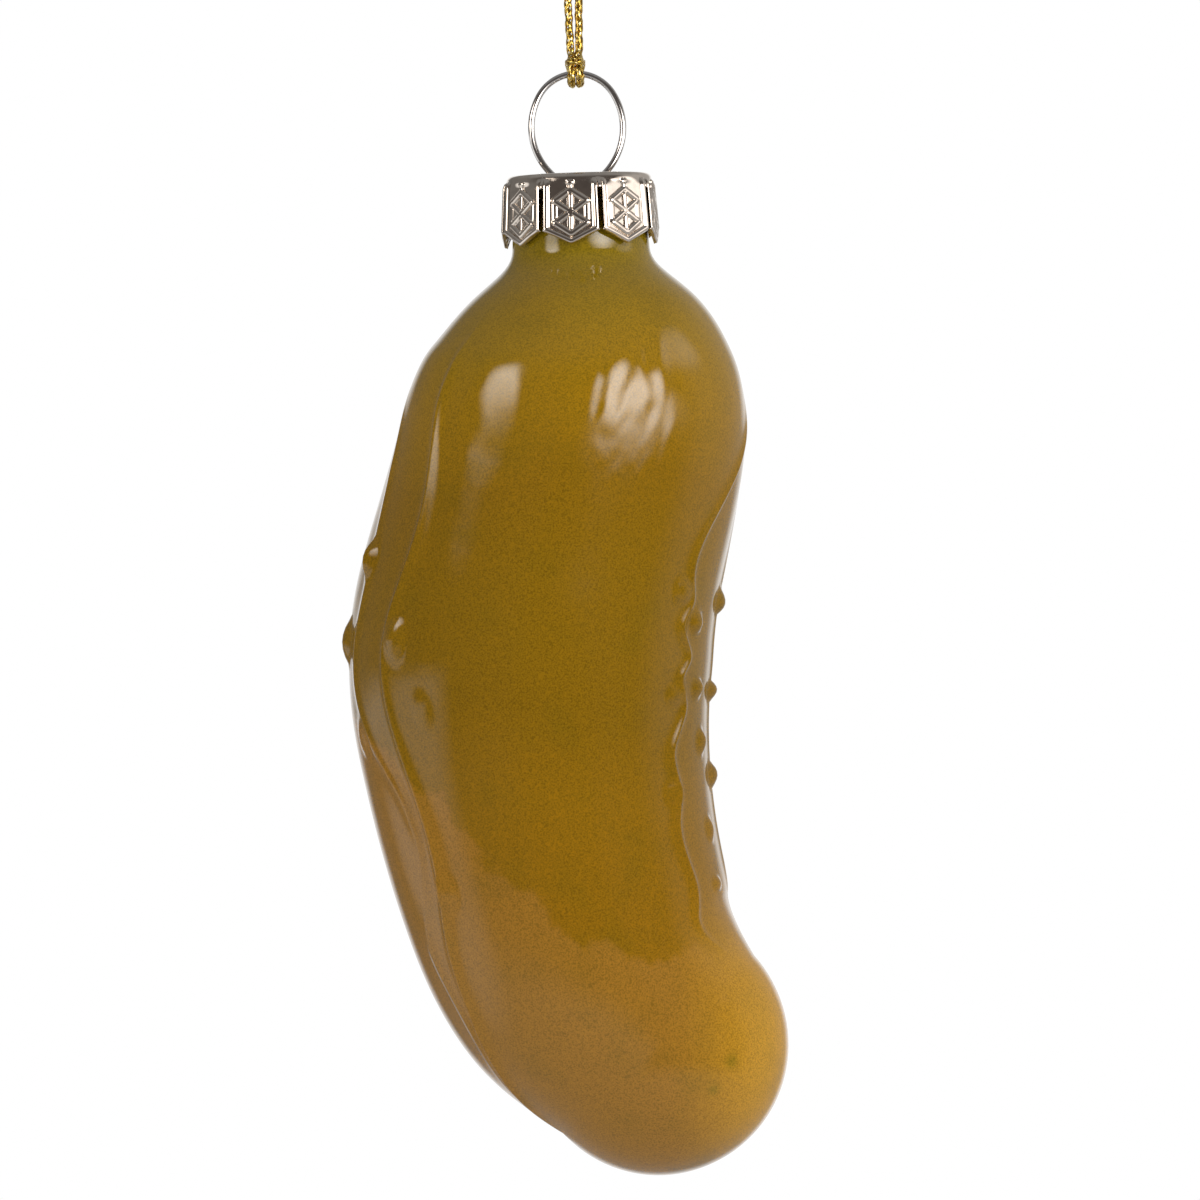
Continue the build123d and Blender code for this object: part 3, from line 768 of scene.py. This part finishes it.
def spline_points(route, name):
    """Points along the smooth NURBS line that has the route's points as its control points."""
    curve = bpy.data.curves.new(name, "CURVE")
    curve.dimensions = "3D"
    curve.resolution_u = 24
    spline = curve.splines.new("NURBS")
    spline.points.add(len(route) - 1)
    for point, place in zip(spline.points, route):
        point.co = (*place, 1)
    spline.order_u = 3
    spline.use_endpoint_u = True
    holder = bpy.data.objects.new(name, curve)
    mesh = bpy.data.meshes.new_from_object(holder)
    points = [vert.co.copy() for vert in mesh.vertices]
    bpy.data.objects.remove(holder)
    bpy.data.curves.remove(curve)
    bpy.data.meshes.remove(mesh)
    return points


def even_points(points, step):
    """The same line with points a step apart."""
    places = np.array([tuple(point) for point in points])
    along = np.concatenate([[0], np.cumsum(np.linalg.norm(np.diff(places, axis=0), axis=1))])
    marks = np.linspace(0, along[-1], int(along[-1] / step) + 1)
    return [Vector(p) for p in np.stack([np.interp(marks, along, places[:, k]) for k in range(3)], axis=1)], along[-1]


cord_line, cord_length = even_points(spline_points(cord_route(), "cord_line"), 0.1)
print("cord between its ends at the knot", round(cord_length, 1), "mm")

# %% [markdown]
# ## The braid
# On the real cord, flat gold ribbons cross over and under each other. A plain tube with a drawn pattern would
# look flat close up, so each ribbon is a thin tube of its own. A grid is rolled up along its line, which winds
# round the cord and rises and dips where it meets the others.

# %% Braid
BRAID_PITCH = 4.4
BRAID_CARRIERS = 3
RIBBON_HALF_WIDTH, RIBBON_HALF_THICKNESS, RIBBON_SIDES = 0.2, 0.075, 8
BRAID_RADIUS, BRAID_WEAVE = 0.37, 0.05


def line_frames(points):
    """Direction and two cross axes at every point, turned as little as possible along the line."""
    directions = [(points[min(k + 1, len(points) - 1)] - points[max(k - 1, 0)]).normalized()
                  for k in range(len(points))]
    cross = directions[0].orthogonal().normalized()
    frames = []
    for direction in directions:
        cross = (cross - cross.dot(direction) * direction).normalized()
        frames.append((direction, cross, direction.cross(cross)))
    return frames


def ribbon(bm, rings):
    """Roll a grid into a tube through small rings of points."""
    rows, sides = len(rings), len(rings[0])
    grid = bmesh.ops.create_grid(bm, x_segments=rows - 1, y_segments=sides, size=1)["verts"]
    for k, vert in enumerate(grid):
        vert.co = rings[k % rows][k // rows % sides]
    bmesh.ops.remove_doubles(bm, verts=grid, dist=1e-6)


def braid(bm, points, flare=0.0):
    """Ribbons wound both ways round a line, weaving over and under each other."""
    frames = line_frames(points)
    step = (points[1] - points[0]).length
    total = step * (len(points) - 1)
    for way in (-1, 1):
        for carrier in range(BRAID_CARRIERS):
            rings = []
            for k, (point, (direction, first, second)) in enumerate(zip(points, frames)):
                along = k * step
                turn = 2 * pi * (way * along / BRAID_PITCH + carrier / BRAID_CARRIERS)
                weave = BRAID_WEAVE * way * sin(2 * pi * BRAID_CARRIERS * along / BRAID_PITCH + pi * carrier)
                open_out = 1 + flare * max(0, 1 - (total - along) / 1.2) ** 2
                outward = first * cos(turn) + second * sin(turn)
                lean = way * 2 * pi * BRAID_RADIUS / BRAID_PITCH
                wide = (direction.cross(outward) - direction * lean).normalized()
                middle = point + outward * (BRAID_RADIUS + weave) * open_out
                rings.append([middle + wide * RIBBON_HALF_WIDTH * cos(2 * pi * corner / RIBBON_SIDES)
                              + outward * RIBBON_HALF_THICKNESS * sin(2 * pi * corner / RIBBON_SIDES)
                              for corner in range(RIBBON_SIDES)])
            ribbon(bm, rings)
    bmesh.ops.holes_fill(bm, edges=[edge for edge in bm.edges if edge.is_boundary], sides=RIBBON_SIDES)


def gold_material():
    material = bpy.data.materials.new("gold_lame")
    nodes = Nodes(material)
    place = nodes.add("ShaderNodeTexCoord").outputs["Object"]
    thread = nodes.add("ShaderNodeTexNoise", {"Vector": place, "Scale": 2600, "Detail": 2.0})
    colour = nodes.ramp(thread.outputs["Fac"], [
        (0.3, srgb(158, 122, 30)), (0.5, srgb(226, 190, 88)), (0.7, srgb(255, 242, 186)),
    ])
    rough = nodes.span(thread.outputs["Fac"], 0.3, 0.7, 0.38, 0.18)
    gold = nodes.add("ShaderNodeBsdfPrincipled", {"Base Color": colour, "Roughness": rough, "Metallic": 1.0})
    nodes.add("ShaderNodeOutputMaterial", {"Surface": gold.outputs["BSDF"]})
    return material


gold = gold_material()
cord_mesh = bmesh.new()
braid(cord_mesh, cord_line)
bmesh.ops.recalc_face_normals(cord_mesh, faces=cord_mesh.faces)
cord = make_piece(cord_mesh, "gold_cord", "cord", gold, ["cord_strand_left", "cord_strand_right", "cord_hitch"])

# %% [markdown]
# ## The knot
# Both ends are tied together in one overhand knot above the loop. An overhand knot is a trefoil cut open at one
# lobe, so a loop works out its points. The two ends lie side by side through it and part above it.

# %% Knot
KNOT_CENTRE_Z = 2.6
KNOT_SIZE, KNOT_DEPTH, KNOT_SHIFT, KNOT_NARROW = 0.40, 0.62, 1.3, 0.9
KNOT_STEPS, KNOT_OPENING, KNOT_SPREAD = 12, 0.55, 0.26
TAIL_TOP_Z, TAIL_SPREAD_X = 8.4, 2.2


def knot_route(side):
    """One end's route through the knot: in from the loop, round the trefoil and out to a cut end."""
    route = [(side * STRAND_X, 0, KNOT_Z - 1.6), (side * 0.5, 0, KNOT_Z - 0.6)]
    for step in range(KNOT_STEPS + 1):
        turn = pi + KNOT_OPENING + (2 * pi - 2 * KNOT_OPENING) * step / KNOT_STEPS
        x, z = cos(turn) - 2 * cos(2 * turn), sin(turn) + 2 * sin(2 * turn)
        spread = 1 + side * KNOT_SPREAD
        route.append((KNOT_SIZE * spread * (x + KNOT_SHIFT) * KNOT_NARROW, -KNOT_DEPTH * sin(3 * turn),
                      KNOT_CENTRE_Z - KNOT_SIZE * spread * z))
    route += [(side * 0.6, 0, TAIL_TOP_Z - 3.2), (side * TAIL_SPREAD_X, 0.2 * side, TAIL_TOP_Z)]
    return route


knot_mesh = bmesh.new()
for side in (-1, 1):
    line, length = even_points(spline_points(knot_route(side), "knot_line"), 0.1)
    braid(knot_mesh, line, flare=0.6)
    print("knot end", side, round(length, 1), "mm")
bmesh.ops.recalc_face_normals(knot_mesh, faces=knot_mesh.faces)
knot = make_piece(knot_mesh, "cord_end_knot", "cord", gold, ["cord_knot"])

# %% [markdown]
# ## The room
# The background is plain white, but the glass and the metal mirror a dim room: dark behind the camera, grey at the
# sides, and white where the backdrop stands. A picture of a room could be wrapped round the scene. Here the world
# works out its brightness from the direction of each ray, so nothing has to be painted. Camera rays see white all
# round, and glossy and transmission rays see it in the backdrop's place, so it adds no light to the colour.

# %% World
ROOM_FRONT = (0.085, 0.075, 0.07)
ROOM_LEFT, ROOM_RIGHT = (0.17, 0.165, 0.16), (0.42, 0.41, 0.40)
ROOM_ABOVE, ROOM_BELOW = (0.24, 0.24, 0.24), (0.4, 0.4, 0.4)
LEFT_PANEL = (0.9, 0.9, 0.9)


def dim_room():
    world = bpy.data.worlds.new("dim_room")
    nodes = Nodes(world)
    ray = nodes.add("ShaderNodeTexCoord").outputs["Generated"]
    x, y, z = nodes.add("ShaderNodeSeparateXYZ", {"Vector": ray}).outputs
    sides = nodes.mix(nodes.span(x, -0.4, 0.4), ROOM_LEFT, ROOM_RIGHT)
    room = nodes.mix(nodes.span(y, -0.42, 0.12), ROOM_FRONT, sides)
    room = nodes.mix(nodes.span(z, 0.35, 0.9), room, ROOM_ABOVE)
    room = nodes.mix(nodes.span(z, -0.2, -0.5), room, ROOM_BELOW)
    panel = nodes.math("MULTIPLY", nodes.span(x, -0.74, -0.92), nodes.span(z, 0.02, -0.1))
    room = nodes.mix(panel, room, LEFT_PANEL)
    dim = nodes.add("ShaderNodeBackground", {"Color": room, "Strength": 1.0})
    plain = nodes.add("ShaderNodeBackground", {"Color": (1, 1, 1, 1), "Strength": 1.0})
    path = nodes.add("ShaderNodeLightPath").outputs
    mirrored = nodes.math("MAXIMUM", path["Is Glossy Ray"], path["Is Transmission Ray"])
    backdrop = nodes.math("MULTIPLY", mirrored, nodes.span(y, 0.85, 0.97))
    white = nodes.math("MAXIMUM", path["Is Camera Ray"], backdrop)
    seen = nodes.add("ShaderNodeMixShader", {0: white, 1: dim.outputs[0], 2: plain.outputs[0]})
    nodes.add("ShaderNodeOutputWorld", {"Surface": seen.outputs[0]})
    return world


bpy.context.scene.world = dim_room()
print("world", bpy.context.scene.world.name)

# %% [markdown]
# ## The lamps
# Two soft lights stand in front of the ornament, and the glass mirrors them as the pale patches on its shoulders.
# One set of lamps could do everything, but then the patches would settle how evenly the colour is lit. So small
# lamps close by are seen only in the gloss: one for each patch, one for the veil under the right patch and one for
# the cap. Large ones further off light only the colour. Each is an oval area lamp, and its nodes fade it towards
# the edge.

# %% Soft lamp
SHOULDER, CAP_MIDDLE = Vector((0, -0.017, -0.067)), Vector((0, 0, -0.044))


def soft_lamp(name, azimuths, elevations, distance, radiance, colour, bottom=0.0, full=0.4, seen_from=SHOULDER):
    """An oval lamp with a soft edge, seen from a place between two angles from the front and two above level.

    The light comes up slowly from the lamp's bottom over the given share of its height, and it is full within the
    given distance from the middle, where the edge is at 0.5.
    """
    data = bpy.data.lights.new(name, "AREA")
    data.shape = "ELLIPSE"
    data.size = 2 * distance * tan(radians(azimuths[1] - azimuths[0]) / 2)
    data.size_y = 2 * distance * tan(radians(elevations[1] - elevations[0]) / 2)
    data.energy = radiance * pi * data.size * data.size_y * pi / 4
    data.color = colour
    nodes = Nodes(data)
    place = nodes.add("ShaderNodeNewGeometry").outputs["Parametric"]
    middle = nodes.add("ShaderNodeVectorMath", {0: place, 1: (0.5, 0.5, 0)}, operation="SUBTRACT")
    reach = nodes.add("ShaderNodeVectorMath", {0: middle.outputs["Vector"]}, operation="LENGTH").outputs["Value"]
    rise = nodes.span(nodes.add("ShaderNodeSeparateXYZ", {"Vector": place}).outputs["Y"], -0.02, bottom)
    glow = nodes.math("MULTIPLY", nodes.span(reach, 0.5, full), rise)
    nodes.add("ShaderNodeOutputLight", {"Surface": nodes.add("ShaderNodeEmission", {"Strength": glow}).outputs[0]})
    lamp = bpy.data.objects.new(name, data)
    bpy.context.collection.objects.link(lamp)
    a, e = radians(sum(azimuths) / 2), radians(sum(elevations) / 2)
    out = Vector((sin(a) * cos(e), -cos(a) * cos(e), sin(e)))
    lamp.location = seen_from + distance * out
    lamp.rotation_euler = out.to_track_quat("Z", "Y").to_euler()
    lamp.visible_camera = False
    print(name, round(data.size * 1000), "by", round(data.size_y * 1000), "mm")
    return lamp


# %% Lamps for the gloss
WARM_WHITE, PALE_WHITE, SOFT_WHITE = (1.0, 0.93, 0.86), (1.0, 0.96, 0.93), (1.0, 0.97, 0.94)
gloss_lamps = [
    soft_lamp("left_glint", (-71, -40), (4, 41), 0.11, 8.0, WARM_WHITE, bottom=0.85, full=0.2),
    soft_lamp("right_glint", (8, 74), (-15, 33), 0.1, 12.0, PALE_WHITE, bottom=0.95, full=0.15),
    soft_lamp("right_veil", (2, 88), (-13, 20), 0.1, 1.5, PALE_WHITE, bottom=0.8, full=0.1),
    soft_lamp("cap_glint", (50, 96), (-14, 26), 0.05, 1.2, PALE_WHITE, bottom=0.5, full=0.15, seen_from=CAP_MIDDLE),
]
for lamp in gloss_lamps:
    lamp.visible_diffuse = False

# %% Lamps for the colour
colour_lamps = [
    soft_lamp("key_light", (25, 85), (-20, 50), 0.7, 3.3, SOFT_WHITE, bottom=0.1),
    soft_lamp("fill_light", (-75, -5), (-35, 45), 0.7, 1.6, SOFT_WHITE, bottom=0.1),
    soft_lamp("back_light", (130, 230), (-35, 45), 0.7, 1.2, SOFT_WHITE, bottom=0.1),
]
for lamp in colour_lamps:
    lamp.visible_glossy = False

# %% [markdown]
# ## The floor
# The ornament hangs above a floor of pale paper, which keeps its shadow. A backdrop that curves up from the floor
# would hide their seam. Here the paper turns to plain white towards its edge for camera rays, which does the same.
# The floor is kept out of the gloss, so that its mirrored edge doesn't show in the glass.

# %% Floor
FLOOR_Z, FLOOR_RADIUS = -0.25, 0.35
PAPER = (0.88, 0.88, 0.88, 1)


def floor_material():
    material = bpy.data.materials.new("pale_floor")
    nodes = Nodes(material)
    place = nodes.add("ShaderNodeTexCoord").outputs["Object"]
    distance = nodes.add("ShaderNodeVectorMath", {0: place}, operation="LENGTH").outputs["Value"]
    paper = nodes.add("ShaderNodeBsdfDiffuse", {"Color": PAPER})
    glow = nodes.add("ShaderNodeEmission", {"Color": (1, 1, 1, 1), "Strength": 1.0})
    path = nodes.add("ShaderNodeLightPath").outputs["Is Camera Ray"]
    far = nodes.math("MULTIPLY", nodes.span(distance, 0.27, 0.34), path)
    both = nodes.add("ShaderNodeMixShader", {0: far, 1: paper.outputs[0], 2: glow.outputs[0]})
    nodes.add("ShaderNodeOutputMaterial", {"Surface": both.outputs[0]})
    return material


floor_mesh = bmesh.new()
bmesh.ops.create_circle(floor_mesh, cap_ends=True, radius=FLOOR_RADIUS, segments=96,
                        matrix=Matrix.Translation((0, 0, FLOOR_Z)))
floor_data = bpy.data.meshes.new("floor")
floor_mesh.to_mesh(floor_data)
floor_mesh.free()
floor_data.materials.append(floor_material())
floor = bpy.data.objects.new("floor", floor_data)
bpy.context.collection.objects.link(floor)
floor.visible_glossy = False
print("floor", 2 * FLOOR_RADIUS, "m across")

# %% [markdown]
# ## Finish
# Colours are shown as they are, without a film look.

# %% Finish
bpy.context.scene.view_settings.view_transform = "Standard"
bpy.context.view_layer.update()
